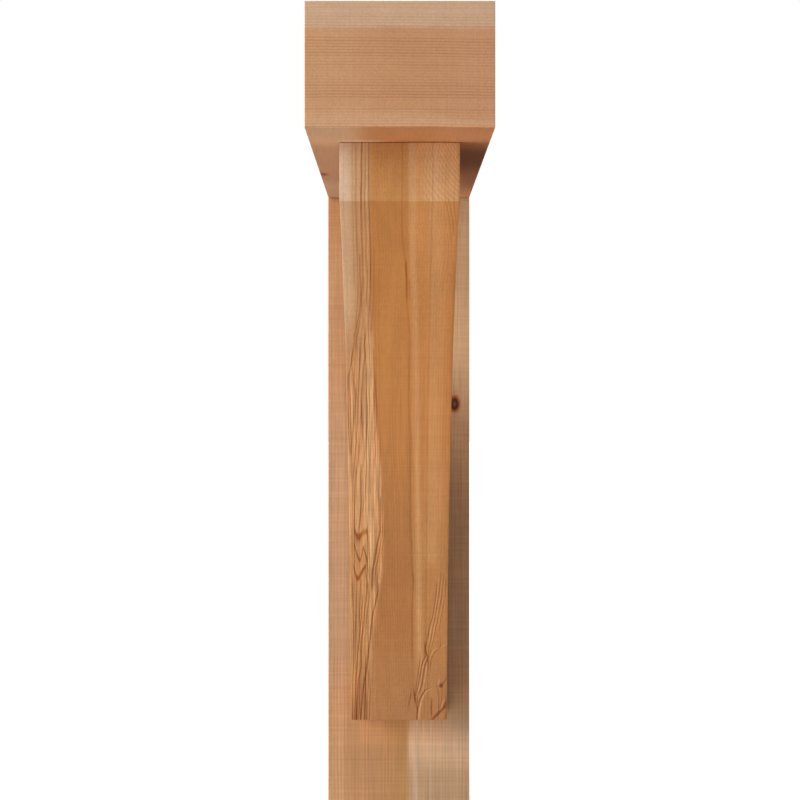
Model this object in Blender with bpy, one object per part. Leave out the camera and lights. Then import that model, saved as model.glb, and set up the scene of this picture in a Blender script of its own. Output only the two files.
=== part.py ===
"""Arched knee bracket in cedar, for carrying an eave, a shelf or a mantel off a wall.

Three sawn timbers make it. A back plate stands against the wall, an outlooker lies level on
top of the plate and reaches out from the wall, and an arched brace holds the outlooker up
from the plate. The brace is narrower than the other two and is set back from their ends.

The unit is the metre, with +Z up. The wall is the plane y = 0 and the bracket reaches out
along -Y. The origin is the middle of the back plate's wall face. The bracket is the same on
both sides of the plane x = 0.
"""

import math

import bmesh
import bpy
from mathutils import Vector

# Sizes of the whole bracket
PROJECTION = 0.762
OVERALL_HEIGHT = 0.762

# Outlooker and back plate
TIMBER_WIDTH = 0.1524
OUTLOOKER_HEIGHT = 0.1016
PLATE_THICKNESS = 0.1016

# Arched brace
BRACE_WIDTH = 0.1016
BRACE_DEPTH = 0.184
ARCH_RADIUS = 0.762
BRACE_SETBACK = 0.104
NOSE_HEIGHT = 0.0495
FOOT_CLEARANCE = 0.103
FOOT_DEPTH = 0.0495
ARC_STEPS = 48

# Fits and finishing
JOINT_GAP = 0.0003
ARRIS = 0.001
ARRIS_STEPS = 2
ROUND_PROFILE = 0.5
CORNER_ANGLE = math.radians(20)
SAME_PLANE = 0.00001

# Planes that the timbers share, worked out from the sizes above
PLATE_LENGTH = OVERALL_HEIGHT - OUTLOOKER_HEIGHT
UNDERSIDE_Z = PLATE_LENGTH / 2
PLATE_FACE_Y = -PLATE_THICKNESS
FRONT_Y = -PROJECTION

# Finish
CEDAR_ROUGHNESS = 0.6
OUTLOOKER_COLOUR = (0.53, 0.27, 0.13)
PLATE_COLOUR = (0.50, 0.27, 0.14)
BRACE_COLOUR = (0.50, 0.23, 0.08)


def clear_scene():
    """Removes every object that the file opens with."""
    for obj in list(bpy.data.objects):
        bpy.data.objects.remove(obj, do_unlink=True)


def cedar(name, colour):
    """A plain sawn cedar finish."""
    material = bpy.data.materials.new(name)
    material.use_nodes = True
    shader = material.node_tree.nodes["Principled BSDF"]
    shader.inputs["Base Color"].default_value = (*colour, 1.0)
    shader.inputs["Roughness"].default_value = CEDAR_ROUGHNESS
    shader.inputs["Metallic"].default_value = 0.0
    return material


def arc(centre, radius, start, end, steps):
    """Points (y, z) on an arc from start to end, which are both points on it."""
    first = math.atan2(start[1] - centre[1], start[0] - centre[0])
    last = math.atan2(end[1] - centre[1], end[0] - centre[0])
    points = []
    for step in range(steps + 1):
        angle = first + (last - first) * step / steps
        points.append((centre[0] + radius * math.cos(angle), centre[1] + radius * math.sin(angle)))
    return points


def arch_centre(nose, foot):
    """Centre (y, z) of the arch through the nose's and the foot's outer corners.

    It lies out in front of the bracket and below it, so that the arch is hollow from there.
    """
    start = Vector(nose)
    chord = Vector(foot) - start
    outward = Vector((chord.y, -chord.x)).normalized()
    if outward.x > 0:
        outward = -outward
    rise = math.sqrt(ARCH_RADIUS**2 - (chord.length / 2) ** 2)
    return start + chord / 2 + outward * rise


def brace_outline(top_z, back_y):
    """The brace's side view as points (y, z), once round, from its level cut to its upright one."""
    nose = (FRONT_Y + BRACE_SETBACK, UNDERSIDE_Z - NOSE_HEIGHT)
    foot = (PLATE_FACE_Y - FOOT_DEPTH, -PLATE_LENGTH / 2 + FOOT_CLEARANCE)
    centre = arch_centre(nose, foot)
    inner_radius = ARCH_RADIUS + BRACE_DEPTH
    heel = (back_y, centre.y + math.sqrt(inner_radius**2 - (back_y - centre.x) ** 2))
    head = (centre.x + math.sqrt(inner_radius**2 - (top_z - centre.y) ** 2), top_z)
    outer = arc(centre, ARCH_RADIUS, nose, foot, ARC_STEPS)
    inner = arc(centre, inner_radius, heel, head, ARC_STEPS)
    return [(nose[0], top_z), *outer, (back_y, foot[1]), *inner]


def lies_in(edge, plane):
    """Whether an edge lies in a plane, which is given as its axis, "y" or "z", and its place there."""
    axis, place = plane
    return all(abs(getattr(vert.co, axis) - place) < SAME_PLANE for vert in edge.verts)


def ease_arrises(bm, contact_planes):
    """Rounds the corners, apart from those that bear on another timber."""
    corners = [
        edge
        for edge in bm.edges
        if edge.calc_face_angle(0.0) > CORNER_ANGLE
        and not any(lies_in(edge, plane) for plane in contact_planes)
    ]
    bmesh.ops.bevel(
        bm,
        geom=corners,
        offset=ARRIS,
        offset_type="OFFSET",
        segments=ARRIS_STEPS,
        profile=ROUND_PROFILE,
        affect="EDGES",
        clamp_overlap=True,
    )


def timber(name, outline, width, material, contact_planes=()):
    """A timber whose side view is outline, points (y, z), and whose width is along X.

    It bears on other timbers in contact_planes, where its edges stay sharp.
    """
    bm = bmesh.new()
    ring = [bm.verts.new((-width / 2, y, z)) for y, z in outline]
    side = bm.faces.new(ring)
    extruded = bmesh.ops.extrude_face_region(bm, geom=[side])["geom"]
    far_side = [item for item in extruded if isinstance(item, bmesh.types.BMVert)]
    bmesh.ops.translate(bm, verts=far_side, vec=(width, 0.0, 0.0))
    bmesh.ops.recalc_face_normals(bm, faces=bm.faces)
    ease_arrises(bm, contact_planes)
    mesh = bpy.data.meshes.new(name)
    bm.to_mesh(mesh)
    bm.free()
    mesh.materials.append(material)
    mesh.shade_smooth()
    mesh.set_sharp_from_angle(angle=CORNER_ANGLE)
    obj = bpy.data.objects.new(name, mesh)
    bpy.context.collection.objects.link(obj)
    return obj


def rectangle(low, high):
    """The four corners of a rectangle between two points (y, z)."""
    return [(low[0], low[1]), (high[0], low[1]), (high[0], high[1]), (low[0], high[1])]


def build_outlooker():
    """The level timber on top, from the wall to the bracket's front end."""
    outline = rectangle((FRONT_Y, UNDERSIDE_Z), (0.0, UNDERSIDE_Z + OUTLOOKER_HEIGHT))
    material = cedar("cedar_outlooker", OUTLOOKER_COLOUR)
    return timber("top_outlooker", outline, TIMBER_WIDTH, material)


def build_plate():
    """The upright timber against the wall, under the outlooker."""
    outline = rectangle((PLATE_FACE_Y, -PLATE_LENGTH / 2), (0.0, UNDERSIDE_Z - JOINT_GAP))
    material = cedar("cedar_plate", PLATE_COLOUR)
    return timber("back_plate", outline, TIMBER_WIDTH, material)


def build_brace():
    """The arched timber from the plate up to the outlooker, a fit's gap clear of both."""
    top_z = UNDERSIDE_Z - JOINT_GAP
    back_y = PLATE_FACE_Y - JOINT_GAP
    contact_planes = [("z", top_z), ("y", back_y)]
    outline = brace_outline(top_z, back_y)
    material = cedar("cedar_brace", BRACE_COLOUR)
    return timber("arched_brace", outline, BRACE_WIDTH, material, contact_planes)


def main():
    """Builds the three timbers."""
    clear_scene()
    build_outlooker()
    build_plate()
    build_brace()


main()
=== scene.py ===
"""Looks of an arched knee bracket in western red cedar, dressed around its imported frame.

The bracket is three timbers: an outlooker lying level on top, a back plate standing against
the wall, and an arched brace between them. Units are metres, +Z is up, the wall is the plane
y = 0, and the bracket reaches out along -Y towards the camera.
"""
import logging
import math
from collections.abc import Mapping, Sequence
from dataclasses import dataclass
from enum import Enum
from typing import Any, Union

import bmesh
import bpy
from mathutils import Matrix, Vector


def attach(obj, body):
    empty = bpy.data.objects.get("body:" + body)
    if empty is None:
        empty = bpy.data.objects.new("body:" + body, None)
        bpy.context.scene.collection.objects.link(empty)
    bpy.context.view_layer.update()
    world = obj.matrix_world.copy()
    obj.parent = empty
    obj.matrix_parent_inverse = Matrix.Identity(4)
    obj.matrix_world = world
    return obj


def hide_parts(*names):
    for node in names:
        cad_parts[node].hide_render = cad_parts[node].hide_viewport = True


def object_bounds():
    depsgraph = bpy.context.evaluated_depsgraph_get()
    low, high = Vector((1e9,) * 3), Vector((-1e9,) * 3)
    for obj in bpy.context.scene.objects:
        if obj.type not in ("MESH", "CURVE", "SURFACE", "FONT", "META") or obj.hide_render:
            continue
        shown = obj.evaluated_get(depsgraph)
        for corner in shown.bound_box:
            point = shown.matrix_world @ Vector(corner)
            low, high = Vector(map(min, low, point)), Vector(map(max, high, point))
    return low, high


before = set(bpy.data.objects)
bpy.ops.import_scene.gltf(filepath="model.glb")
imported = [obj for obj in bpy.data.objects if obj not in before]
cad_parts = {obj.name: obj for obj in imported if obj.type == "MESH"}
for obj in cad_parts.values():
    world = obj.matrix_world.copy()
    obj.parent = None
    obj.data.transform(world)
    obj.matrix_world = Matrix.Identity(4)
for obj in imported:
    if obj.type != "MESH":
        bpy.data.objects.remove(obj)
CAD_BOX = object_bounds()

logging.basicConfig(level=logging.INFO, format="%(name)s: %(message)s")
LOG = logging.getLogger("bracket")

Triple = tuple[float, float, float]
Point = tuple[float, float]
MM = 0.001
BODY = "root"

# Planes that the timbers share.
SIDE_X = 0.0762
FRONT_Y = -0.762
PLATE_FACE_Y = -0.1016
TOP_Z = 0.4318
UNDERSIDE_Z = 0.3302
JOINT_Z = 0.3299
BOTTOM_Z = -0.3302

# Where an edge is eased, and in how many facets.
CORNER_ANGLE = math.radians(20.0)
ARRIS_STEPS = 3


class Slot(Enum):
    """The record's material slots."""

    OUTLOOKER = "cedar_outlooker"
    PLATE = "cedar_plate"
    BRACE = "cedar_brace"


class Blend(Enum):
    """Ways to lay one colour over another."""

    OVER = "MIX"
    TINT = "MULTIPLY"


class Wire:
    """A node's socket that Python's operators build on, one node for each operation."""

    def __init__(self, graph: "Graph", socket: bpy.types.NodeSocket) -> None:
        """Wraps a socket of a graph."""
        self.graph = graph
        self.socket = socket

    def __add__(self, other: "Value") -> "Wire":
        """Sum."""
        return self.graph.calculate("ADD", self, other)

    def __radd__(self, other: "Value") -> "Wire":
        """Sum with the wire on the right."""
        return self.graph.calculate("ADD", other, self)

    def __sub__(self, other: "Value") -> "Wire":
        """Difference."""
        return self.graph.calculate("SUBTRACT", self, other)

    def __rsub__(self, other: "Value") -> "Wire":
        """Difference with the wire on the right."""
        return self.graph.calculate("SUBTRACT", other, self)

    def __mul__(self, other: "Value") -> "Wire":
        """Product."""
        return self.graph.calculate("MULTIPLY", self, other)

    def __rmul__(self, other: "Value") -> "Wire":
        """Product with the wire on the right."""
        return self.graph.calculate("MULTIPLY", other, self)

    def __pow__(self, power: float) -> "Wire":
        """Power."""
        return self.graph.calculate("POWER", self, power)

    def __neg__(self) -> "Wire":
        """The opposite value."""
        return self.graph.calculate("MULTIPLY", self, -1.0)

    def __abs__(self) -> "Wire":
        """The value without its sign."""
        return self.graph.calculate("ABSOLUTE", self)

    def fraction(self) -> "Wire":
        """What is left over the whole number below."""
        return self.graph.calculate("FRACT", self)

    def least(self, other: "Value") -> "Wire":
        """The smaller of two values."""
        return self.graph.calculate("MINIMUM", self, other)

    def most(self, other: "Value") -> "Wire":
        """The larger of two values."""
        return self.graph.calculate("MAXIMUM", self, other)

    def rise(self, low: float, high: float) -> "Wire":
        """A smooth step from 0 at low to 1 at high; high may be the smaller one."""
        if high < low:
            return 1.0 - self.rise(high, low)
        settings = {"interpolation_type": "SMOOTHSTEP"}
        return self.graph.output("ShaderNodeMapRange", settings, {0: self, 1: low, 2: high})

    def bell(self, middle: float, half_width: float) -> "Wire":
        """A smooth hump that is 1 at middle and 0 from half_width away."""
        return abs(self - middle).rise(half_width, 0.0)

    def between(self, low: float, high: float, soft: float) -> "Wire":
        """1 between low and high, 0 outside, with edges that fade over soft."""
        return self.rise(low - soft, low + soft) * self.rise(high + soft, high - soft)

    def parts(self) -> tuple["Wire", "Wire", "Wire"]:
        """The three numbers of a vector."""
        node = self.graph.node("ShaderNodeSeparateXYZ", {}, {0: self})
        x, y, z = (Wire(self.graph, socket) for socket in node.outputs)
        return x, y, z

    def follow(self, points: Sequence[Point]) -> "Wire":
        """Reads a smooth curve through points (input, output), flat beyond its ends.

        Args:
            points: The curve's knots, from the smallest input to the largest.

        Returns:
            The curve's value here.
        """
        ends = (points[0][0], points[-1][0])
        values = (min(value for _, value in points), max(value for _, value in points))
        knots = [(share_of(place, ends), share_of(value, values)) for place, value in points]
        share = (self - ends[0]) * (1.0 / (ends[1] - ends[0]))
        curve = self.graph.output("ShaderNodeFloatCurve", {"knots": [knots]}, {1: share})
        return curve * (values[1] - values[0]) + values[0]


Value = Union[float, Triple, Wire]


class Graph:
    """A node tree under construction."""

    def __init__(self, tree: bpy.types.NodeTree) -> None:
        """Starts from an empty tree."""
        self.tree = tree
        tree.nodes.clear()

    def node(
        self, kind: str, settings: Mapping[str, Any], values: Mapping[Any, Any]
    ) -> bpy.types.Node:
        """Adds a node.

        Args:
            kind: The node's type name.
            settings: Its properties; "knots" fills its curves, one list for each.
            values: What goes into its inputs, by index or name: numbers or wires.

        Returns:
            The new node.
        """
        node = self.tree.nodes.new(kind)
        for name, setting in settings.items():
            if name == "knots":
                self._fill_curves(node, setting)
            else:
                setattr(node, name, setting)
        for key, value in values.items():
            if isinstance(value, Wire):
                self.tree.links.new(value.socket, node.inputs[key])
            else:
                node.inputs[key].default_value = value
        return node

    def output(
        self, kind: str, settings: Mapping[str, Any], values: Mapping[Any, Any], index: int = 0
    ) -> Wire:
        """Adds a node and returns one of its outputs as a wire."""
        return Wire(self, self.node(kind, settings, values).outputs[index])

    @staticmethod
    def _fill_curves(node: bpy.types.Node, curves: Sequence[Sequence[Point]]) -> None:
        """Sets the knots of a curve node, each from 0 to 1 both ways and in order."""
        node.mapping.extend = "HORIZONTAL"
        for curve, knots in zip(node.mapping.curves, curves):
            curve.points[0].location = knots[0]
            curve.points[-1].location = knots[-1]
            for place, value in knots[1:-1]:
                curve.points.new(place, value)
            for point in curve.points:
                point.handle_type = "AUTO_CLAMPED"
        node.mapping.update()

    def calculate(self, operation: str, *values: Value) -> Wire:
        """Adds a Math node, or a Vector Math node where a value is a vector.

        Args:
            operation: The node's operation.
            values: What it works on, in order.

        Returns:
            The result: a number for a length or a dot product, or else what the values are.
        """
        vectors = any(
            isinstance(value, tuple)
            or (isinstance(value, Wire) and value.socket.type in ("VECTOR", "RGBA"))
            for value in values
        )
        settings = {"operation": operation}
        if not vectors:
            return self.output("ShaderNodeMath", settings, dict(enumerate(values)))
        spread = [(value,) * 3 if isinstance(value, (int, float)) else value for value in values]
        index = 1 if operation in ("LENGTH", "DOT_PRODUCT") else 0
        return self.output("ShaderNodeVectorMath", settings, dict(enumerate(spread)), index)

    def curves(self, curves: Sequence[Sequence[Point]], value: Wire) -> Wire:
        """Sends each number of a vector through its own curve; one left out is flat at 0."""
        filled = [*curves, *[((0.0, 0.0), (1.0, 0.0))] * (3 - len(curves))]
        return self.output("ShaderNodeVectorCurve", {"knots": filled}, {1: value})

    def vector(self, x: Value, y: Value, z: Value) -> Wire:
        """Three numbers as one vector."""
        return self.output("ShaderNodeCombineXYZ", {}, {0: x, 1: y, 2: z})

    def noise(self, place: Wire, detail: float = 2.0, roughness: float = 0.5) -> Wire:
        """Smooth noise from 0 to 1 that changes over about one unit of place."""
        values = {"Vector": place, "Scale": 1.0, "Detail": detail, "Roughness": roughness}
        return self.output("ShaderNodeTexNoise", {"noise_dimensions": "3D"}, values)

    def mix(self, share: Value, under: Value, over: Value, blend: Blend = Blend.OVER) -> Wire:
        """Lays one colour over another.

        Args:
            share: How much of the upper colour shows.
            under: The lower colour.
            over: The upper colour, or a number to shade with.
            blend: How the two are put together.

        Returns:
            The colour of both.
        """
        under, over = (
            (*value, 1.0) if isinstance(value, tuple) else value for value in (under, over)
        )
        settings = {"data_type": "RGBA", "blend_type": blend.value, "clamp_factor": True}
        return self.output("ShaderNodeMix", settings, {0: share, 6: under, 7: over}, index=2)

    def shade(self, colour: Wire, amount: Wire) -> Wire:
        """Makes a colour lighter or darker by a factor."""
        return self.mix(1.0, colour, amount, Blend.TINT)


def share_of(value: float, limits: Point) -> float:
    """Where a value lies between two limits, from 0 to 1."""
    return min(1.0, max(0.0, (value - limits[0]) / (limits[1] - limits[0])))


def linear(value: int) -> float:
    """The light that a screen value from 0 to 255 stands for."""
    share = value / 255.0
    return share / 12.92 if share <= 0.04045 else ((share + 0.055) / 1.055) ** 2.4


def tone(red: int, green: int, blue: int) -> Triple:
    """A colour named by its screen values, as the light it stands for."""
    return linear(red), linear(green), linear(blue)


@dataclass(frozen=True)
class Place:
    """Where a point lies in a timber, in metres.

    Attributes:
        x: Across the bracket.
        y: Out from the wall, which is at 0, with the front negative.
        z: Up.
        across: Through the rings.
        deep: Along a ring, square to the grain.
        along: Along the grain.
    """

    x: Wire
    y: Wire
    z: Wire
    across: Wire
    deep: Wire
    along: Wire


@dataclass(frozen=True)
class Pattern:
    """An even pattern in the wood.

    Attributes:
        rates: How often it changes in a metre: through the rings, along a ring, along the grain.
        detail: How many finer layers it has.
        roughness: How strong the finer layers are.
    """

    rates: Triple
    detail: float
    roughness: float

    def show(self, graph: Graph, place: Place) -> Wire:
        """The pattern here, from -1 to 1."""
        across, deep, along = self.rates
        spot = graph.vector(place.across * across, place.deep * deep, place.along * along)
        return graph.noise(spot, self.detail, self.roughness) * 2.0 - 1.0


FIBRES = Pattern((620.0, 620.0, 20.0), 3.0, 0.65)
MOTTLING = Pattern((90.0, 60.0, 3.0), 2.0, 0.5)
SAW_MARKS = Pattern((8.0, 420.0, 480.0), 2.0, 0.6)


@dataclass(frozen=True)
class Grain:
    """How a cedar timber grew and was sawn.

    Attributes:
        pitch: From one ring to the next.
        contrast: How much the rings show, from 0 to 1.
        wander: How far a ring strays to either side.
        wander_across: Over what distance along a ring it strays.
        wander_along: Over what distance along the grain it strays.
        sawn: How much the saw's marks lighten and darken the wood.
        fibre: How much the fibres do.
        mottle: How much the broad soft bands do.
        late: What a ring's dark line multiplies the wood's colour by.
    """

    pitch: float
    contrast: float
    wander: float
    wander_across: float
    wander_along: float
    sawn: float
    fibre: float = 0.2
    mottle: float = 0.14
    late: Triple = (0.66, 0.55, 0.45)

    def rings(self, graph: Graph, place: Place) -> Wire:
        """The rings' dark lines: 1 on a line and 0 between lines.

        Args:
            graph: The graph to build in.
            place: Where the point lies.

        Returns:
            How much of a line is here.
        """
        across, along = place.across, place.along
        bend = graph.vector(
            across * (1.0 / 0.12),
            place.deep * (1.0 / self.wander_across),
            along * (1.0 / self.wander_along),
        )
        drift = (graph.noise(bend, 2.0, 0.45) - 0.5) * (2.0 * self.wander)
        count = (across + drift) * (1.0 / self.pitch)
        turn = count.fraction()
        line = turn.rise(0.3, 0.86) * turn.rise(1.0, 0.9)
        strength = graph.noise(graph.vector(count * 0.43, along * 2.0, 3.7), 1.0)
        return line * strength.rise(0.25, 0.75)


@dataclass(frozen=True)
class Knot:
    """A small branch cut through by the surface: a dark heart, a warm halo and two tails.

    Attributes:
        across: Its middle's place across the grain.
        along: Its middle's place along the grain.
        radius: Half its width across the grain.
        stretch: How many times longer than wide it is.
        heart: The dark wood's colour.
        halo: The colour around it.
        pith: The colour in its middle.
    """

    across: float
    along: float
    radius: float
    stretch: float
    heart: Triple
    halo: Triple
    pith: Triple

    def lay(self, graph: Graph, colour: Wire, across: Wire, along: Wire, mask: Value) -> Wire:
        """Lays the knot over a colour.

        Args:
            graph: The graph to build in.
            colour: The wood's colour around the knot.
            across: Place across the grain.
            along: Place along the grain.
            mask: Where the knot may show.

        Returns:
            The colour with the knot.
        """
        side = (across - self.across) * (1.0 / self.radius)
        up = (along - self.along) * (1.0 / (self.radius * self.stretch))
        rough = (graph.noise(graph.vector(across * 700.0, 0.0, along * 500.0)) - 0.5) * 0.5
        edge = graph.calculate("LENGTH", graph.vector(side, up, 0.0)) + rough
        tail = side.bell(0.0, 0.9) * up.bell(0.0, 3.2)
        halo = edge.rise(1.5, 0.75).most(tail * 0.45)
        heart = edge.rise(0.95, 0.55)
        colour = graph.mix(halo * mask, colour, self.halo)
        colour = graph.mix(heart * 0.92 * mask, colour, self.heart)
        return graph.mix(edge.rise(0.5, 0.15) * 0.8 * mask, colour, self.pith)


@dataclass(frozen=True)
class Stroke:
    """One grain line.

    Attributes:
        strength: How dark or pale it is, from 0 to 1.
        width: Its half-width, in millimetres.
        path: The points that it runs through, in millimetres.
    """

    strength: float
    width: float
    path: tuple[Point, ...]


@dataclass(frozen=True)
class Figure:
    """Grain lines that are drawn together, three to a node.

    Attributes:
        strokes: The lines. A path's points are (place on the way, place across).
        fade: Over how much of the way a line's end fades.
        way: The lowest and highest place on the way.
        across: The lowest and highest place across.
    """

    strokes: tuple[Stroke, ...]
    fade: float
    way: Point = (-10.0, 770.0)
    across: Point = (-80.0, 80.0)

    def _strength_knots(self, stroke: Stroke) -> list[Point]:
        """How strong a line is on its way, as curve knots."""
        start, end = stroke.path[0][0], stroke.path[-1][0]
        fade = min(self.fade, (end - start) / 2.0)
        places = ((start - fade, 0.0), (start + fade, stroke.strength), (end + fade, 0.0))
        if end - start > 2.5 * fade:
            places = (*places[:2], (end - fade, stroke.strength), places[2])
        return [(share_of(place, self.way), strength) for place, strength in places]

    def _path_knots(self, stroke: Stroke) -> list[Point]:
        """Where a line runs, as curve knots."""
        return [
            (share_of(place, self.way), share_of(side, self.across))
            for place, side in stroke.path
        ]

    def ink(self, graph: Graph, way: Wire, across: Wire) -> Wire:
        """How much of the lines is here.

        Args:
            graph: The graph to build in.
            way: Place on the way, in millimetres.
            across: Place across, in millimetres.

        Returns:
            From 0 to 1, or more where lines meet.
        """
        span = self.across[1] - self.across[0]
        share = (way - self.way[0]) * (1.0 / (self.way[1] - self.way[0]))
        side = (across - self.across[0]) * (1.0 / span)
        shares = graph.vector(share, share, share)
        sides = graph.vector(side, side, side)
        settings = {"data_type": "FLOAT_VECTOR", "interpolation_type": "SMOOTHSTEP"}
        none, full = (0.0,) * 3, (1.0,) * 3
        total: Value = 0.0
        for first in range(0, len(self.strokes), 3):
            three = self.strokes[first : first + 3]
            paths = graph.curves([self._path_knots(stroke) for stroke in three], shares)
            strengths = graph.curves([self._strength_knots(stroke) for stroke in three], shares)
            widths = [stroke.width / span for stroke in three] + [1e-4] * (3 - len(three))
            values = {6: abs(sides - paths), 7: none, 8: tuple(widths), 9: full, 10: none}
            lines = graph.output("ShaderNodeMapRange", settings, values, 1)
            total = graph.calculate("DOT_PRODUCT", lines, strengths) + total
        return total


def strokes(*rows: Sequence[float]) -> tuple[Stroke, ...]:
    """Grain lines from rows of a strength, a half-width and then each point's two numbers."""
    return tuple(Stroke(row[0], row[1], tuple(zip(row[2::2], row[3::2]))) for row in rows)


# Lines down the edge of the sapwood.
EDGE_LINES = strokes(
    (0.5, 1.4, 0, -31.6, 16.7, -31.7, 36, -32.4, 89.5, -33, 144.5, -33, 180.1, -33.1, 212.6, -34.7,
     231.8, -35.3, 250.5, -37.5, 267.8, -39.6, 280, -41, 304, -42, 333.4, -42.9, 362.5, -42.5,
     392.4, -44.1, 408.8, -45.5, 432.3, -47.4),
    (0.45, 1.4, 0, -28.4, 16.7, -28.8, 36, -29.4, 89.5, -29.4, 134.3, -29.4, 158.3, -28.8,
     186.5, -29.1, 214.4, -30.2),
    (0.58, 1.4, 0, -26, 16.7, -26, 36, -26, 89.5, -25.8, 134.3, -25.6, 186.5, -26.1, 227.1, -27.5),
    (0.55, 1.4, 140, -35.2, 199.9, -35.3, 227.1, -36.4, 247.6, -39, 266, -41.6, 284.4, -43,
     302.6, -44.8, 318.9, -47.1, 330.8, -48.2, 362.5, -48.8, 404.7, -49.4, 432.3, -49.1),
    (0.25, 1.4, 127.2, -22.5, 170.1, -22.9, 211.1, -23.7, 258.2, -25.5),
    (0.3, 1.2, 0, -36.6, 120, -37.2, 200, -37.8, 250, -40.6),
    (0.2, 1.3, 0, -39.8, 90, -40.2, 180, -41),
)
# The close bundle of lines below the sapwood.
LEFT_FIGURE = strokes(
    (0.62, 1.3, 264.5, -31.1, 284.4, -32.9, 295.1, -32.1, 310, -33.5, 327.8, -34.5, 347.9, -35.7,
     375.2, -36.6, 415.9, -38.6, 438.3, -40.1, 459.2, -42),
    (0.6, 1.2, 273.7, -35.8, 296.6, -37, 327.8, -38.3, 347.9, -38.9, 369.6, -39.8, 386.4, -40.4,
     415.9, -41.8, 439, -43.4, 467, -45.3),
    (0.5, 1.1, 292.2, -43.8, 313, -44.6, 333.4, -43.7, 369.6, -44.2, 390.9, -44.7),
    (0.4, 1.2, 282.9, -40, 307, -40.5, 333.4, -40.5, 356.9, -41.2),
    (0.3, 1.2, 281.5, -29.9, 307, -30.4, 333.4, -31.1),
    (0.45, 1, 236, -28.4, 262, -28.8, 281.5, -28.4, 300, -28.1),
    (0.4, 1, 228, -25.6, 262, -26.2, 292, -26.3, 322, -26.6),
    (0.4, 1, 340, -33.2, 372, -34.2, 402, -35.6, 430, -37.6),
    (0.35, 1, 372, -30.6, 402, -31.4, 430, -33.4, 452, -35.6),
    (0.5, 1.4, 292.2, -23.9, 326.3, -23.4, 362.5, -22, 380.8, -21.7, 397.6, -22.2, 415.9, -24,
     432.3, -23.3, 447.2, -24.5),
    (0.35, 1.2, 334.9, -23.7, 369.6, -24.2, 390.9, -26, 418.5, -27.2),
    (0.4, 1.2, 449.9, -31.6, 472.5, -32.6, 498.5, -34.8, 514, -37),
    (0.35, 1.2, 449.9, -29.2, 472.5, -29.8, 492.2, -30.8),
    (0.3, 1.2, 449.9, -26.9, 469.6, -27.5, 488.1, -28.2),
    (0.75, 1.4, 456.6, -37.4, 485.5, -37.9, 498.5, -37.8, 525.1, -39.7, 537.9, -41.3),
    (0.5, 1.6, 461.8, -43.1, 498.5, -44, 524.3, -45.3, 539.4, -44.8),
    (0.3, 1.6, 485.5, -16.8, 514, -16.6),
)
# The right legs of the pointed figure.
TIP_LEGS = strokes(
    (0.6, 1.4, 536.8, -32.3, 551.1, -31, 564.2, -30.7),
    (0.55, 1.3, 571.5, -32.8, 587.1, -31.7),
    (0.6, 1.3, 590.7, -34.4, 597.9, -32.7, 612.3, -31.4),
)
# Dark lines that fall away beside the pointed figure.
FALLING_LINES = strokes(
    (1, 1.6, 498.5, -18.6, 517.7, -18.7, 537.6, -19.1, 549.3, -21.3, 561.7, -23, 574.1, -24.8,
     586.7, -26.6, 605.1, -27.5),
    (0.6, 1.3, 534.3, -16.6, 548.2, -18, 561.7, -19.6, 571.5, -21.4, 587.1, -24.1, 605.1, -25),
    (0.35, 1.3, 542, -14.6, 565.3, -18, 586, -20.6, 605.1, -22.4),
    (0.4, 1.3, 525.4, -22.3, 555.5, -23.9, 574.1, -26),
)
# Lines that run out at the foot.
FOOT_LINES = strokes(
    (0.55, 1.3, 596.8, -43.4, 621.5, -43.8, 633.3, -43.9, 650.6, -45.1),
    (0.75, 1.4, 601.5, -39.3, 621.5, -40.1, 642.5, -41),
    (0.9, 1.5, 607.6, -33, 621.5, -34.2, 638.9, -36, 650.6, -36.8, 661.8, -38.3, 678.5, -39.2,
     695, -39.4, 710.1, -42, 727, -43.4, 752.6, -44.8),
    (0.5, 1.3, 612.3, -30, 621.5, -31, 640.7, -33.3, 653, -34.7, 678.5, -35.6),
    (0.85, 1.5, 607.6, -20.7, 621.5, -23.8, 637.9, -27, 648.1, -28.2, 661.8, -29.5, 674, -30.9,
     685.1, -32.2, 700.5, -33.6, 714.5, -36.8, 731.6, -38.5, 752.6, -40.4),
    (0.65, 1.1, 600, -47.4, 674, -47, 716.5, -48.4, 752.6, -49),
    (0.75, 1.1, 621, -37.4, 650, -39.8, 674, -42.2, 711.1, -45, 752.6, -47),
    (0.85, 1.2, 690, -34.2, 719.5, -34.9, 752.6, -36.3),
    (0.8, 1.1, 706, -31.9, 752.6, -33.4),
    (0.7, 1.1, 722, -29.8, 752.6, -30.8),
    (0.8, 1.1, 716, -41, 752.6, -42.6),
)
# The thin seam down the middle.
SEAM = strokes(
    (0.3, 1.8, -1.2, 2.1, 16.7, 2.3, 36, 2, 109.5, 3, 158.3, 6.1, 212.6, 7.1, 246.1, 8.8,
     278.5, 10.1, 310, 9.9, 347.9, 9.6, 390.9, 10.5, 418.5, 11.7, 443.1, 11.8, 485.5, 11.3,
     517.7, 11.6, 540.5, 12.1, 561.7, 13.3, 581.3, 13.4, 600.4, 15.3),
    (0.5, 1.5, 150, 6.1, 206, 7),
    (0.3, 1.2, 180, 9, 206, 9.6),
    (0.3, 1.8, 592.1, 14.7, 644.6, 13.9, 684, 14.2),
)
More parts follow.
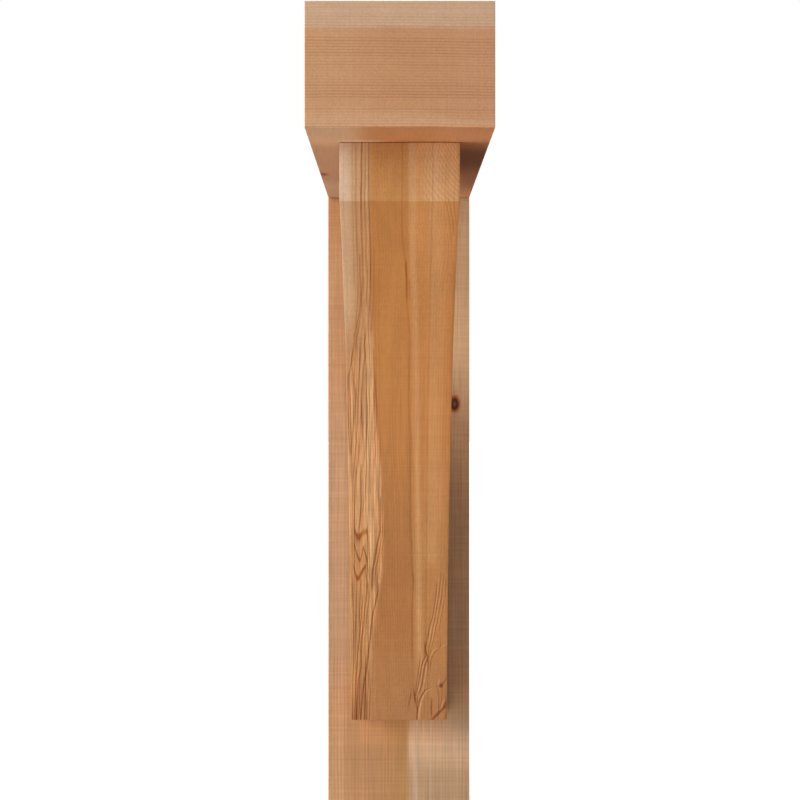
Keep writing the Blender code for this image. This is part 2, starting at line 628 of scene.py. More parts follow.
# Lines on the right that bend round the little knot at the foot.
RIGHT_FIGURE = strokes(
    (0.4, 1.3, 36, 41.5, 63.3, 44.8, 95, 47.3),
    (0.3, 1.2, 36, 38.5, 60, 41.8, 110, 45.5),
    (0.3, 1.2, 36, 45.5, 50, 46.8, 80, 48.8),
    (0.6, 1.26, 607.1, 39.4, 618.9, 37.9, 630.6, 36.6, 641.1, 35.5, 649.9, 32.8, 657.2, 31.3,
     664.6, 29.9, 673.1, 28.1, 678.2, 27.2),
    (0.54, 1.26, 593.9, 43.4, 607.1, 42.1, 618.9, 40.9, 631.9, 39.1, 642.4, 37.8, 653.6, 35.6,
     663.3, 34.1, 670.7, 32.5, 677.5, 30.9),
    (0.48, 1.2, 595.3, 46.2, 607.1, 45.1, 618.9, 44.1, 630.6, 42.3, 641.1, 40.8, 652.3, 38.8,
     662.1, 37.1, 670.7, 35.3, 677.8, 33.7),
    (0.36, 1.2, 603.2, 48.8, 618.9, 47.3, 630.6, 45.6, 641.1, 44.1, 652.3, 42.3),
    (0.9, 1.44, 675.6, 27.2, 680.7, 28.8, 686.6, 30.4, 693.2, 30.8),
    (0.72, 1.32, 684.4, 28.2, 689.6, 25.6, 696.2, 24, 704.5, 22.6, 712.9, 21, 722.4, 19,
     727.2, 17.3),
    (0.48, 1.2, 687.8, 22.6, 698.6, 21, 709.3, 19.6, 718.9, 18.2, 726.6, 16.6),
    (0.72, 1.32, 686.6, 31.2, 692.6, 28.2, 699.8, 26.6, 708.1, 25.5, 716.5, 23.9, 723, 21.8,
     728.7, 19.4),
    (0.66, 1.44, 675.1, 46.9, 676.2, 44.2, 678.6, 39.3, 682.3, 36.4, 687.2, 34.2, 693.8, 33.3),
    (0.78, 1.44, 712.4, 50.3, 716.2, 44.2, 717.9, 38.4, 719.1, 32.5, 720.8, 28.1, 724.4, 25.1,
     729.6, 23, 735.5, 20.9, 743.7, 19.7, 751.9, 19.1),
    (0.72, 1.44, 724.2, 15.9, 730.8, 17.3, 736.1, 19),
    (0.72, 1.44, 725.8, 13.1, 730.8, 11.8, 735.7, 10.9),
    (0.48, 1.2, 718.3, 38.4, 722.4, 41.7, 730.8, 42.4, 741.9, 41.8),
    (0.48, 1.2, 718.3, 46.3, 727.2, 45.7, 735.5, 44.3, 741.9, 43),
    (0.9, 1.68, 734.9, 34.7, 740.2, 34.3, 745.1, 34.6),
    (1, 3.6, 731.8, 50.9, 737.8, 48.8, 742.8, 44.6, 747, 40, 752.4, 35.3),
    (0.6, 2.64, 743.7, 50.2, 752.6, 49.7),
)
# Pale bands and lines of earlywood.
PALE_LINES = strokes(
    (0.9, 7, 266, -28.4, 304, -28, 333.4, -28.5, 390.9, -29.5, 432.3, -30.8, 472.5, -32.6,
     511.4, -31.4, 549.3, -28.6, 579.9, -28.2),
    (1, 2, 459.2, -40.3, 505.2, -40.7, 536.8, -42.4),
    (0.7, 1.4, 321.9, -45.5, 362.5, -45.7, 387.9, -46.2),
    (0.7, 1.3, 281.5, -36.1, 327.8, -37, 365.5, -37.8, 397.6, -39),
    (0.45, 5, -1.2, 10.6, 36, 11.2, 144.5, 12.3, 194.8, 13.8, 273.7, 15.5, 390.9, 17.1,
     472.5, 18.4, 549.3, 19.6, 621.5, 20.8, 684, 21.4),
    (0.3, 12, 0, 28.9, 36, 30.6, 258.2, 34.3, 472.5, 35, 574.1, 32.8),
    (0.43, 1.2, 600.6, 41.4, 618.9, 39.3, 630.6, 37.7, 641.1, 36.4, 651.1, 34.2, 659.7, 32.6,
     668.8, 31.1),
    (0.43, 1.2, 600.6, 44.6, 618.9, 42.5, 630.6, 40.7, 642.4, 39.2, 652.3, 37.2, 663.3, 35.4,
     672.5, 33.7),
    (0.31, 1.1, 617.6, 46.6, 630.6, 44.2, 641.1, 42.4, 651.1, 40.4),
    (0.68, 1.4, 672.6, 50.4, 674, 47.9, 675.3, 42.3, 677, 38.1, 679.8, 35.3, 683.9, 33.7),
    (0.5, 1.1, 685.3, 29.8, 691.1, 27, 698, 25.2, 706.3, 24.1, 714.1, 22.6, 721.8, 20.8),
    (0.31, 1, 689.6, 23.8, 696.2, 22.4, 704.5, 21.2, 714.1, 19.9, 721.8, 18.5),
    (0.5, 1.3, 690.8, 30.3, 699.8, 28.5, 709.3, 27.2, 718.3, 25.5),
    (0.56, 1.5, 717.2, 41.9, 719.8, 37.2, 721, 31.4, 723.4, 28.1, 727.5, 25.5, 733.2, 23.7,
     740.2, 22.1, 747.2, 21.2),
    (0.34, 1.6, 727.5, 50.4, 733.2, 47.1, 737.8, 44.8, 742.8, 43),
)
# The pointed figure, drawn from left to right, down the way of the grain.
POINTED_FIGURE = strokes(
    (0.8, 6.5, -45.3, 536.8, -42.8, 542.3, -40.8, 544.2, -38.7, 542, -35.6, 539.4, -32.3, 538.7),
    (0.85, 5, -45.5, 555.1, -42.6, 567.5, -39.7, 573.7, -37.5, 565.3, -36.2, 559.1, -34.1, 566.4,
     -32.5, 573.7),
    (0.55, 10, -44, 548, -38.6, 546),
    (1, 5.5, -46.2, 581.7, -45, 588.5, -43.3, 595, -41.2, 595, -39.4, 591.4, -36, 584.9,
     -34.4, 581.3),
)
# Where the fine lines beside the sapwood end, as (along, across).
BUNDLE_EDGE = ((0, -25), (210, -27), (391, -22), (550, -16), (620, -22), (700, -29), (752, -30))
# Where the sapwood ends, as (along, across).
SAPWOOD_EDGE = (
    (0, -34.6), (91.2, -35), (199.9, -35.7), (227.1, -36.9), (247.6, -39.5), (266, -42),
    (284.4, -44.1), (302.6, -46.7), (321.9, -50.5), (345, -56),
)

@dataclass(frozen=True)
class Look:
    """A timber's own figure.

    Attributes:
        colour: The wood's broad colour.
        lines: How much the drawn grain lines show, if it has any.
        rings: How much the plain rings show, from 0 to 1.
        spot: Where the point lies for the knot: across the grain and along it.
        mask: Where the knot may show.
    """

    colour: Wire
    spot: tuple[Wire, Wire]
    mask: Wire
    lines: Union[Wire, None] = None
    rings: Value = 1.0


class CedarFinish:
    """Oiled cedar, which is coloured through its whole depth so that all its faces agree.

    Attributes:
        name: The material's name.
        grain: How the timber grew and was sawn.
        knot: Its one knot.
        roughness: The oiled face's roughness between its lines.
        gloss: How strongly the oiled face mirrors.
        relief: How deep a drawn grain line is worn.
        line_tint: What a drawn grain line multiplies the wood's colour by.
        flank: Where the left side face lies on X.
        flank_painted_shade: Painted shade: what the left side face multiplies the wood's colour
            by, to hold back the strong light from the left.
    """

    name: str
    grain: Grain
    knot: Knot
    roughness = 0.62
    gloss = 0.3
    relief = 0.3 * MM
    line_tint: Triple = (0.52, 0.28, 0.11)
    flank = -SIDE_X
    flank_painted_shade = 0.88

    def locate(self, x: Wire, y: Wire, z: Wire) -> Place:
        """Says how the grain lies in the timber."""
        raise NotImplementedError

    def look(self, graph: Graph, place: Place) -> Look:
        """Gives the timber's own figure."""
        raise NotImplementedError

    def material(self) -> bpy.types.Material:
        """Builds the timber's material.

        Returns:
            The material, which reads Object coordinates.
        """
        material = bpy.data.materials.new(self.name)
        material.use_nodes = True
        graph = Graph(material.node_tree)
        grain = self.grain
        place = self.locate(*graph.output("ShaderNodeTexCoord", {}, {}, 3).parts())
        look = self.look(graph, place)
        rings = grain.rings(graph, place) * look.rings
        fibres = FIBRES.show(graph, place)
        mottling = MOTTLING.show(graph, place)
        marks = SAW_MARKS.show(graph, place)
        shading = mottling * grain.mottle + fibres * grain.fibre + 1.0
        shading = marks * grain.sawn + shading
        # Painted shade: the left side face and its arris are darkened, to hold back the strong
        # light from the left.
        flank = place.x.rise(self.flank + 0.75 * MM, self.flank + 0.25 * MM)
        colour = graph.shade(look.colour, shading * (1.0 - flank * (1.0 - self.flank_painted_shade)))
        colour = graph.mix(rings * grain.contrast, colour, grain.late, Blend.TINT)
        height = fibres * 0.2 + marks * 0.1 - rings * 0.3
        if look.lines is not None:
            colour = graph.mix(look.lines, colour, self.line_tint, Blend.TINT)
            height = height - look.lines
        colour = self.knot.lay(graph, colour, *look.spot, look.mask)
        values = {"Strength": 0.6, "Distance": self.relief, "Height": height}
        bump = graph.output("ShaderNodeBump", {}, values)
        rough = fibres * 0.06 + rings * 0.05 + self.roughness
        values = {"Base Color": colour, "Roughness": rough, "Normal": bump}
        values["Specular IOR Level"] = self.gloss
        shader = graph.output("ShaderNodeBsdfPrincipled", {}, values)
        graph.node("ShaderNodeOutputMaterial", {}, {0: shader})
        LOG.info("%s: %d nodes", self.name, len(graph.tree.nodes))
        return material


class OutlookerFinish(CedarFinish):
    """The level timber: rings lie flat, so the end shows level lines."""

    name = "cedar_outlooker"
    grain = Grain(
        pitch=2.4 * MM, contrast=0.62, wander=3.0 * MM, wander_across=0.16, wander_along=0.6,
        sawn=0.06, fibre=0.22, mottle=0.05,
    )
    knot = Knot(
        -0.0735, -0.368, 5.5 * MM, 2.6, tone(128, 72, 48), tone(168, 104, 68), tone(120, 72, 60)
    )

    def locate(self, x: Wire, y: Wire, z: Wire) -> Place:
        """Rings are stacked along Z and the grain runs along Y."""
        return Place(x, y, z, across=z, deep=x, along=y)

    def look(self, graph: Graph, place: Place) -> Look:
        """Tan heartwood with a pale band along the top and a more orange underside, with a painted
        shadow of the brace, painted light behind it and a painted highlight in front of its nose.

        Args:
            graph: The graph to build in.
            place: Where the point lies.

        Returns:
            The timber's figure.
        """
        x, y, z = place.x, place.y, place.z
        body = graph.mix(x.rise(-0.05, 0.0), tone(212, 159, 114), tone(208, 152, 107))
        body = graph.mix(x.rise(0.01, 0.055), body, tone(211, 154, 112))
        ripple = graph.noise(graph.vector(x * 14.0, z * 50.0, y * 2.0), 3.0, 0.6) - 0.5
        low = (z + ripple * 0.02).rise(0.346, 0.333)
        body = graph.mix(low * 0.85, body, tone(223, 171, 131))
        top = (z + ripple * 0.008).rise(0.4082, 0.413)
        body = graph.mix(top, body, tone(217, 177, 142))
        under = z.rise(UNDERSIDE_Z + 1.6 * MM, UNDERSIDE_Z + 0.4 * MM)
        near = y.rise(-0.6, -0.68)
        far = y.rise(-0.34, -0.24)
        left = graph.mix(near, tone(176, 134, 103), tone(216, 164, 123))
        left = graph.mix(far, left, tone(198, 154, 119))
        board = graph.mix(x.rise(-0.048, -0.018), left, tone(201, 130, 77))
        # The strip right of the brace: a painted shadow of the brace just behind its nose, painted
        # lighter in front of the nose and further back, where light comes through the opening
        # behind the brace.
        right = graph.mix(y.rise(-0.66, -0.56), tone(220, 147, 96), tone(148, 96, 62))
        right = graph.mix(y.rise(-0.5, -0.3), right, tone(226, 163, 117))
        board = graph.mix(x.rise(0.02, 0.05), board, right)
        # Painted highlight: a pale thin line on the underside just in front of the brace's nose,
        # where its top edge catches the light.
        painted_nose_highlight = y.between(-0.669, -0.657, 0.002) * x.rise(-0.054, -0.046) * x.rise(0.005, -0.03)
        board = graph.mix(painted_nose_highlight * 0.8, board, tone(236, 186, 146))
        body = graph.mix(under, body, board)
        return Look(body, (x, y), under)


class PlateFinish(CedarFinish):
    """The upright timber against the wall: rings stand on edge to the front."""

    name = "cedar_plate"
    grain = Grain(
        pitch=3.6 * MM, contrast=0.34, wander=4.0 * MM, wander_across=0.08, wander_along=0.7,
        sawn=0.17, fibre=0.32,
    )
    knot = Knot(
        0.0602, 0.1072, 5.4 * MM, 1.6, tone(84, 34, 30), tone(190, 106, 50), tone(140, 96, 90)
    )

    def locate(self, x: Wire, y: Wire, z: Wire) -> Place:
        """Rings are stacked along X and the grain runs along Z."""
        return Place(x, y, z, across=x, deep=y, along=z)

    def look(self, graph: Graph, place: Place) -> Look:
        """A warm left half and a paler, greyer right half, with one small knot on the right,
        painted light and shade around the brace's shadow, and a tone beside the brace painted
        against its red bounce light.

        Args:
            graph: The graph to build in.
            place: Where the point lies.

        Returns:
            The timber's figure.
        """
        x, z = place.x, place.z
        left = graph.mix(x.rise(-0.062, -0.052), tone(201, 150, 106), tone(187, 136, 91))
        left = graph.mix(x.rise(-0.03, 0.0), left, tone(184, 135, 85))
        # Beside the brace, a greyer, less red tone is painted on the left strip to cancel the red
        # light that the brace's side throws on it.
        side = graph.mix(x.rise(-0.062, -0.052), tone(186, 149, 116), tone(175, 139, 103))
        left = graph.mix(z.rise(0.25, 0.31), left, tone(191, 138, 91))
        painted_bounce_offset = z.between(-0.19, 0.11, 0.06) * x.rise(0.0, -0.04)
        left = graph.mix(painted_bounce_offset, left, side)
        # Right strip: painted light on its upper part, where light comes through the opening
        # behind the brace; a painted shadow band just above the foot's level; painted light just
        # below the foot; and a slightly darker tone towards the bottom.
        right = graph.mix(z.rise(-0.02, 0.11), tone(195, 155, 118), tone(238, 198, 152))
        right = graph.mix(z.rise(0.29, 0.325), right, tone(228, 192, 148))
        right = graph.mix(z.between(0.195, 0.285, 0.04), right, tone(212, 171, 129))
        right = graph.mix(z.between(-0.225, -0.165, 0.02) * 0.5, right, tone(197, 143, 100))
        right = graph.mix(z.rise(-0.275, -0.305), right, tone(184, 146, 110))
        right = graph.mix(z.bell(-0.262, 0.035) * 0.75, right, tone(224, 184, 146))
        stripes = x.bell(0.0185, 0.005) * 0.5 + x.bell(0.0348, 0.003) * 0.35
        right = graph.mix(stripes, right, tone(213, 180, 149))
        body = graph.mix(x.rise(0.0076, 0.0132), left, right)
        plain = graph.mix(x.rise(0.0076, 0.0132), tone(196, 143, 99), tone(207, 166, 128))
        body = graph.mix(place.y.rise(-0.06, -0.098), plain, body)
        # Painted light: the face just under the brace's foot is lightened over the shadow that the
        # foot casts there.
        painted_light_below_foot = z.bell(-0.235, 0.05) * x.between(-0.04, 0.05, 0.015)
        body = graph.mix(painted_light_below_foot * 0.7, body, (1.45, 1.37, 1.34), Blend.TINT)
        return Look(body, (x, z), place.deep.rise(-0.08, -0.095))


@dataclass(frozen=True)
class ArchShape:
    """The brace's side view.

    Attributes:
        radius: The arch's radius.
        depth: From the arch to the hidden arc behind it, which has the same centre.
        centre: The arcs' centre on Y and Z.
        nose: Where the upright cut at the front lies on Y.
        foot: Where the level cut at the foot lies on Z.
        back: Where the cut against the plate lies on Y.
        top: Where the cut against the outlooker lies on Z.
        width: The timber's width.
    """

    radius: float = 0.762
    depth: float = 0.184
    centre: Point = (-0.8804, -0.4481)
    nose: float = -0.658
    foot: float = -0.2272
    back: float = -0.1019
    top: float = JOINT_Z
    width: float = 0.1016


class BraceFinish(CedarFinish):
    """The arched timber: straight grain on the slant, rings on edge to the front."""

    name = "cedar_brace"
    grain = Grain(
        pitch=2.6 * MM, contrast=0.2, wander=9.0 * MM, wander_across=0.05, wander_along=0.5,
        sawn=0.09, late=(0.56, 0.4, 0.29),
    )
    knot = Knot(
        0.0446, 0.7165, 2.3 * MM, 1.2, tone(112, 62, 36), tone(160, 100, 58), tone(132, 78, 46)
    )
    arch = ArchShape()
    flank = -0.5 * arch.width
    # Painted shade on the brace's left side face, against the strong light from the left.
    flank_painted_shade = 0.8
    dark = Figure(
        EDGE_LINES + LEFT_FIGURE + TIP_LEGS + FALLING_LINES + FOOT_LINES + SEAM + RIGHT_FIGURE,
        fade=8.0,
    )
    pale = Figure(PALE_LINES, fade=10.0)
    pointed = Figure(POINTED_FIGURE, fade=0.8, way=(-50.0, -28.0), across=(500.0, 640.0))

    def locate(self, x: Wire, y: Wire, z: Wire) -> Place:
        """Rings are stacked along X, and the grain runs down the brace's slant from its nose."""
        forward = y - self.arch.nose
        down = self.arch.top - z
        slant = math.sqrt(0.5)
        deep = (forward - down) * slant
        return Place(x, y, z, across=x, deep=deep, along=(forward + down) * slant)

    def depth(self, place: Place) -> Wire:
        """How far a point lies behind the nose's and the arch's face."""
        out = place.y - self.arch.centre[0]
        up = place.z - self.arch.centre[1]
        inward = (out * out + up * up) ** 0.5 - self.arch.radius
        return inward.least(place.y - self.arch.nose)

    def look(self, graph: Graph, place: Place) -> Look:
        """Orange heartwood, with the figure that the sawn front shows and sapwood on its left,
        painted light and sheen on the nose and painted shade in part of its darkening towards the
        foot.

        Args:
            graph: The graph to build in.
            place: Where the point lies.

        Returns:
            The timber's figure.
        """
        x, deep = place.x, place.deep
        waver = graph.noise(graph.vector(x * 90.0, deep * 20.0, place.along * 55.0), 3.0) - 0.5
        side = x * (1.0 / MM) + waver * 0.9
        way = place.along * (1.0 / MM) + waver * 3.0
        depth = self.depth(place)
        front = (depth + waver * 0.02).rise(0.04, 0.012)
        front = front * abs(x).rise(-self.flank - 0.1 * MM, -self.flank - 0.5 * MM)
        # This tone and the one laid at the foot below darken the brace down the way: partly the
        # wood's own tone, partly painted shade where the light falls off towards the foot.
        body = graph.mix(way.rise(330.0, 590.0), tone(207, 136, 71), tone(179, 117, 62))
        left = graph.mix(way.rise(530.0, 620.0), tone(219, 159, 106), tone(208, 151, 96))
        left = graph.mix(way.bell(570.0, 60.0) * 0.85, left, tone(197, 138, 84))
        beside = side - way.follow(BUNDLE_EDGE)
        body = graph.mix(beside.rise(2.0, -2.5), body, left)
        right = graph.mix(way.rise(240.0, 60.0), tone(209, 137, 74), tone(222, 149, 84))
        right = graph.mix(way.rise(360.0, 600.0), right, tone(191, 129, 71))
        body = graph.mix((side - way * 0.011).rise(5.2, 8.6), body, right)
        body = graph.mix(way.rise(630.0, 750.0) * 0.9, body, tone(178, 121, 73))
        edge = way.follow(SAPWOOD_EDGE) - side
        inward = (depth + waver * 0.05).rise(0.09, 0.05)
        pale = graph.mix(edge.rise(0.0, 14.0), tone(213, 154, 102), tone(223, 178, 137))
        sapwood = edge.rise(-0.5, 0.7) * inward
        body = graph.mix(sapwood, body, pale)
        streaks = graph.noise(graph.vector(side, deep * 10.0, way * 0.016), 1.0, 0.6) - 0.5
        bundle = front * beside.rise(1.5, -1.5) * edge.rise(0.0, -3.0) * way.rise(60.0, 380.0)
        body = graph.mix(self.pale.ink(graph, way, side) * front, body, tone(226, 172, 117))
        body = graph.shade(body, streaks * (bundle * 1.55 + 0.14) + 1.0)
        # Painted light and sheen: the nose's upright face is painted paler and greyer, standing in
        # for the light and the sheen that it catches.
        nose = place.z.rise(0.2795, 0.2815) * front
        body = graph.mix(nose, body, (1.04, 1.27, 1.58), Blend.TINT)
        sweep = (side * (1.0 - way * 0.014) - way * 0.2) * (1.0 / 2.9)
        slanting = sweep.fraction().bell(0.5, 0.48) * side.rise(15.0, 26.0) * way.rise(36.5, 34.5)
        # Painted light on the nose's right part, which the lamps leave too dark.
        right_nose_painted_light = nose * side.rise(6.0, 30.0)
        body = graph.mix(right_nose_painted_light, body, (1.06, 1.09, 1.17), Blend.TINT)
        body = graph.mix(slanting * front * 0.5, body, tone(250, 200, 148))
        lines = self.dark.ink(graph, way, side) + self.pointed.ink(graph, side, way)
        lines = lines * front * (1.0 - streaks * 0.8)
        return Look(body, (x, place.along), front, lines, 1.0 - sapwood * 0.5)


@dataclass
class Brace:
    """The arched timber, swept along its arc and trimmed by its four cuts.

    Attributes:
        shape: Its side view and its width.
        arris: How far each edge is eased.
        steps: How many points the arc has.
        sweep: Where the swept arc starts and how far it turns, in degrees.
        node: The CAD node that it stands for.
        slot: The record's slot that its finish belongs to; not used.
    """

    shape: ArchShape = ArchShape()
    arris: float = 0.6 * MM
    steps: int = 120
    sweep: Point = (5.0, 80.0)
    node: str = "arched_brace"
    slot: Slot = Slot.BRACE

    def rule(self) -> bpy.types.GeometryNodeTree:
        """Builds the tree that sweeps the timber's section along the arc and trims it.

        Returns:
            The tree, whose named inputs are the brace's sizes and its finish.
        """
        tree = bpy.data.node_groups.new("arched_brace_rule", "GeometryNodeTree")
        tree.is_modifier = True
        inputs = {
            "NodeSocketFloat": ("Arch radius", "Timber depth", "Timber width"),
            "NodeSocketVector": ("Arch centre", "Trim low corner", "Trim high corner"),
            "NodeSocketInt": ("Arc steps",),
            "NodeSocketMaterial": ("Finish",),
        }
        for kind, names in inputs.items():
            for name in names:
                tree.interface.new_socket(name=name, in_out="INPUT", socket_type=kind)
        kind = "NodeSocketGeometry"
        tree.interface.new_socket(name="Geometry", in_out="OUTPUT", socket_type=kind)

        graph = Graph(tree)
        sockets = graph.node("NodeGroupInput", {}, {}).outputs
        given = {socket.name: Wire(graph, socket) for socket in sockets if socket.name}
        low, high = given["Trim low corner"], given["Trim high corner"]
        values = {
            "Resolution": given["Arc steps"],
            "Radius": given["Arch radius"] + given["Timber depth"] * 0.5,
            "Start Angle": math.radians(self.sweep[0]),
            "Sweep Angle": math.radians(self.sweep[1]),
        }
        arc = graph.output("GeometryNodeCurveArc", {"mode": "RADIUS"}, values)
        upright = (math.radians(90.0), 0.0, math.radians(90.0))
        values = {"Geometry": arc, "Rotation": upright, "Translation": given["Arch centre"]}
        placed = graph.output("GeometryNodeTransform", {}, values)
        values = {"Width": given["Timber width"], "Height": given["Timber depth"]}
        kind = "GeometryNodeCurvePrimitiveQuadrilateral"
        section = graph.output(kind, {"mode": "RECTANGLE"}, values)
        values = {"Curve": placed, "Profile Curve": section, "Fill Caps": True}
        swept = graph.output("GeometryNodeCurveToMesh", {}, values)
        block = graph.output("GeometryNodeMeshCube", {}, {"Size": high - low})
        values = {"Geometry": block, "Translation": (high + low) * 0.5}
        stock = graph.output("GeometryNodeTransform", {}, values)
        settings = {"operation": "INTERSECT", "solver": "EXACT"}
        trim = graph.node("GeometryNodeMeshBoolean", settings, {"Mesh 2": swept})
        tree.links.new(stock.socket, trim.inputs["Mesh 2"])
        trimmed = Wire(graph, trim.outputs[0])
        whole = graph.output("GeometryNodeRealizeInstances", {}, {0: trimmed})
        values = {"Geometry": whole, "Material": given["Finish"]}
        dressed = graph.output("GeometryNodeSetMaterial", {}, values)
        graph.node("NodeGroupOutput", {}, {0: dressed})
        return tree

    def build(self) -> bpy.types.Object:
        """Makes the brace and lets it stand for its CAD node.

        Returns:
            The finished piece.
        """
        shape = self.shape
        holder = bpy.data.objects.new("brace", bpy.data.meshes.new("brace"))
        bpy.context.collection.objects.link(holder)
        rule = holder.modifiers.new("rule", "NODES")
        rule.node_group = self.rule()
        sizes = {
            "Arch radius": shape.radius,
            "Timber depth": shape.depth,
            "Timber width": shape.width,
            "Arch centre": (0.0, *shape.centre),
            "Trim low corner": (-shape.width, shape.nose, shape.foot),
            "Trim high corner": (shape.width, shape.back, shape.top),
            "Arc steps": self.steps,
            "Finish": BraceFinish().material(),
        }
        for item in rule.node_group.interface.items_tree:
            if item.in_out == "INPUT":
                rule[item.identifier] = sizes[item.name]
        return settle(holder, self.arris, self.node)


def settle(holder: bpy.types.Object, arris: float, node: str) -> bpy.types.Object:
    """Eases a timber's arrises, makes its mesh plain and lets it stand for its CAD node.

    Args:
        holder: The timber's object, with its modifiers.
        arris: How far each edge is eased.
        node: The CAD node that it stands for.

    Returns:
        The finished piece.
    """
    ease = holder.modifiers.new("ease", "BEVEL")
    ease.width = arris
    ease.segments = ARRIS_STEPS
    ease.limit_method = "ANGLE"
    ease.angle_limit = CORNER_ANGLE
    ease.harden_normals = True
    for polygon in holder.data.polygons:
        polygon.use_smooth = True
    graph = bpy.context.evaluated_depsgraph_get()
    mesh = bpy.data.meshes.new_from_object(holder.evaluated_get(graph), depsgraph=graph)
    holder.modifiers.clear()
    holder.data = mesh
    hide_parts(node)
    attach(holder, BODY)
    return holder


@dataclass
class StraightTimber:
    """A planed square timber with eased arrises.

    Attributes:
        name: The piece's name.
        low: Its lowest corner.
        high: Its highest corner.
        finish: Its finish.
        node: The CAD node that it stands for.
        slot: The record's slot that its finish belongs to; not used.
        arris: How far each edge is eased.
    """

    name: str
    low: Triple
    high: Triple
    finish: CedarFinish
    node: str
    slot: Slot
    arris: float = 0.6 * MM

    def build(self) -> bpy.types.Object:
        """Makes the timber and lets it stand for its CAD node.

        Returns:
            The finished piece.
        """
        bm = bmesh.new()
        bmesh.ops.create_cube(bm, size=1.0)
        for vert in bm.verts:
            corner = zip(self.low, self.high, vert.co)
            vert.co = Vector(low + (high - low) * (part + 0.5) for low, high, part in corner)
        mesh = bpy.data.meshes.new(self.name)
        bm.to_mesh(mesh)
        bm.free()
        mesh.materials.append(self.finish.material())
        holder = bpy.data.objects.new(self.name, mesh)
        bpy.context.collection.objects.link(holder)
        return settle(holder, self.arris, self.node)


@dataclass(frozen=True)
class Softbox:
    """A square soft light that faces the middle of the bracket.

    Attributes:
        name: The light's name.
        towards: Direction from the bracket to the light.
        distance: How far away it is.
        size: Length of its side.
        flux: What it gives a white face that is turned squarely to it, as a share of white.
    """

    name: str
    towards: Triple
    distance: float
    size: float
    flux: float

    def hang(self, target: Vector) -> None:
        """Adds the light, facing target."""
        direction = Vector(self.towards).normalized()
        data = bpy.data.lights.new(self.name, "AREA")
        data.shape = "SQUARE"
        data.size = self.size
        data.energy = self.flux * math.pi**2 * self.distance**2
        lamp = bpy.data.objects.new(self.name, data)
        lamp.location = target + direction * self.distance
        lamp.rotation_euler = direction.to_track_quat("Z", "Y").to_euler()
        lamp.visible_camera = False
        bpy.context.collection.objects.link(lamp)


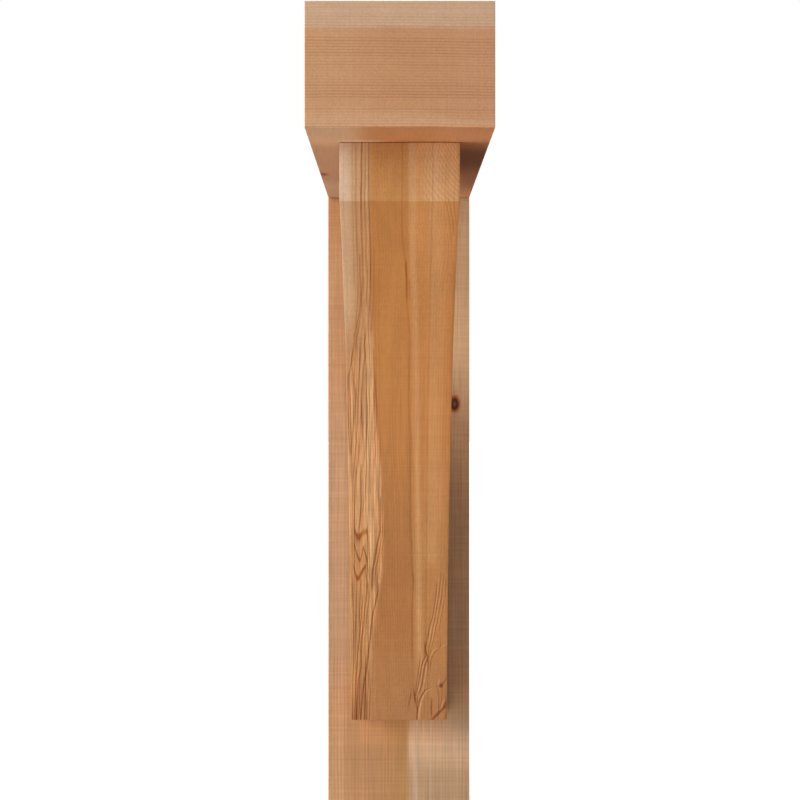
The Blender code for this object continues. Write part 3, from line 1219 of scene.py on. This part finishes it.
@dataclass(frozen=True)
class Studio:
    """Camera, lights and floor.

    The lens, the shift and the camera's place come from the photograph's vanishing point and
    from how the timbers narrow with depth.

    Attributes:
        lens: The lens's length, in millimetres.
        shift: The camera's shift on both axes.
        eye: Where the camera stands.
        middle: What the lights face.
        sky: The dim sky's strength all round.
        sky_front: What it gains towards the front.
        floor_half: Half the floor's side.
        floor_drop: How far it lies under the back plate.
        floor_grey: Its colour near the bracket.
        floor_middle: Where on Y the matt part of it has its middle.
        floor_reach: From what to what distance it turns to white.
        floor_glow: How strong its own light is.
        floor_mix: The share of its own light near the bracket, and what that gains further out.
        lights: The soft lights.
    """

    lens: float = 105.525
    shift: Point = (0.00529, -0.005875)
    eye: Triple = (-0.0033, -2.635, 0.1166)
    middle: Triple = (0.0, -0.35, 0.05)
    sky: float = 0.18
    sky_front: float = 0.5
    floor_half: float = 20.0
    floor_drop: float = 0.5 * MM
    floor_grey: float = 0.86
    floor_middle: float = -0.38
    floor_reach: Point = (0.8, 2.4)
    floor_glow: float = 1.3
    floor_mix: Point = (0.58, 0.42)
    lights: tuple[Softbox, ...] = (
        Softbox("key_left", (-0.8865, -0.4134, 0.2079), 3.0, 1.5, 0.5),
        Softbox("high_left", (-0.75, -0.45, 0.48), 3.0, 2.0, 0.5),
        Softbox("low_left", (-0.707, -0.05, -0.707), 3.0, 1.6, 0.25),
        Softbox("low_side", (-0.85, 0.0, -0.52), 3.0, 1.6, 0.25),
        Softbox("low_front", (-0.4, -0.3, -0.87), 3.0, 1.6, 0.25),
        Softbox("overhead", (0.0, 0.1, 1.0), 5.0, 2.5, 0.85),
        Softbox("behind_right", (0.86, 0.5, 0.1), 3.5, 1.6, 0.35),
    )

    def place_camera(self) -> None:
        """Puts the camera where the photograph was taken from, looking level at the wall."""
        data = bpy.data.cameras.new("camera")
        data.lens = self.lens
        data.sensor_width = 36.0
        data.shift_x, data.shift_y = self.shift
        data.clip_end = 100.0
        camera = bpy.data.objects.new("camera", data)
        camera.location = self.eye
        camera.rotation_euler = (math.radians(90.0), 0.0, 0.0)
        bpy.context.collection.objects.link(camera)
        bpy.context.scene.camera = camera

    def surround(self) -> None:
        """Shows plain white behind the bracket and lights it with a dim sky, brighter in front."""
        world = bpy.data.worlds.new("surround")
        world.use_nodes = True
        bpy.context.scene.world = world
        graph = Graph(world.node_tree)
        _, y, _ = graph.output("ShaderNodeTexCoord", {}, {}).parts()
        strength = (-y).most(0.0) * self.sky_front + self.sky
        sky = graph.output("ShaderNodeBackground", {}, {"Strength": strength})
        white = graph.output("ShaderNodeBackground", {}, {"Color": (1.0, 1.0, 1.0, 1.0)})
        seen = graph.output("ShaderNodeLightPath", {}, {})
        both = graph.output("ShaderNodeMixShader", {}, {0: seen, 1: sky, 2: white})
        graph.node("ShaderNodeOutputWorld", {}, {"Surface": both})

    def floor_finish(self) -> bpy.types.Material:
        """The floor's material: matt near the bracket and brighter further out."""
        material = bpy.data.materials.new("floor_white")
        material.use_nodes = True
        graph = Graph(material.node_tree)
        x, y, _ = graph.output("ShaderNodeTexCoord", {}, {}, 3).parts()
        reach = (x * x + (y - self.floor_middle) * (y - self.floor_middle)) ** 0.5
        far = reach.rise(*self.floor_reach)
        grey = (self.floor_grey,) * 3
        matt = graph.output("ShaderNodeBsdfDiffuse", {}, {"Color": (*grey, 1.0)})
        glow = graph.output("ShaderNodeEmission", {}, {"Strength": self.floor_glow})
        share = far * self.floor_mix[1] + self.floor_mix[0]
        both = graph.output("ShaderNodeMixShader", {}, {0: share, 1: matt, 2: glow})
        graph.node("ShaderNodeOutputMaterial", {}, {0: both})
        return material

    def lay_floor(self) -> None:
        """Lays a pale floor just under the back plate."""
        bm = bmesh.new()
        bmesh.ops.create_grid(bm, x_segments=8, y_segments=8, size=self.floor_half)
        level = CAD_BOX[0][2] - self.floor_drop
        bmesh.ops.translate(bm, verts=bm.verts, vec=(0.0, 0.0, level))
        mesh = bpy.data.meshes.new("floor")
        bm.to_mesh(mesh)
        bm.free()
        mesh.materials.append(self.floor_finish())
        floor = bpy.data.objects.new("floor", mesh)
        bpy.context.collection.objects.link(floor)
        floor.visible_diffuse = False
        floor.visible_shadow = False
        floor.visible_glossy = False

    def set_up(self) -> None:
        """Builds everything around the bracket."""
        bpy.context.scene.view_settings.view_transform = "Standard"
        self.place_camera()
        self.surround()
        for light in self.lights:
            light.hang(Vector(self.middle))
        self.lay_floor()


def main() -> None:
    """Builds the studio and the three timbers."""
    Studio().set_up()
    outlooker = StraightTimber(
        name="outlooker",
        low=(-SIDE_X, FRONT_Y, UNDERSIDE_Z),
        high=(SIDE_X, 0.0, TOP_Z),
        finish=OutlookerFinish(),
        node="top_outlooker",
        slot=Slot.OUTLOOKER,
    )
    plate = StraightTimber(
        name="plate",
        low=(-SIDE_X, PLATE_FACE_Y, BOTTOM_Z),
        high=(SIDE_X, 0.0, JOINT_Z),
        finish=PlateFinish(),
        node="back_plate",
        slot=Slot.PLATE,
    )
    for timber in (outlooker, plate, Brace()):
        piece = timber.build()
        LOG.info("%s: %d faces", piece.name, len(piece.data.polygons))


if __name__ == "__main__":
    main()
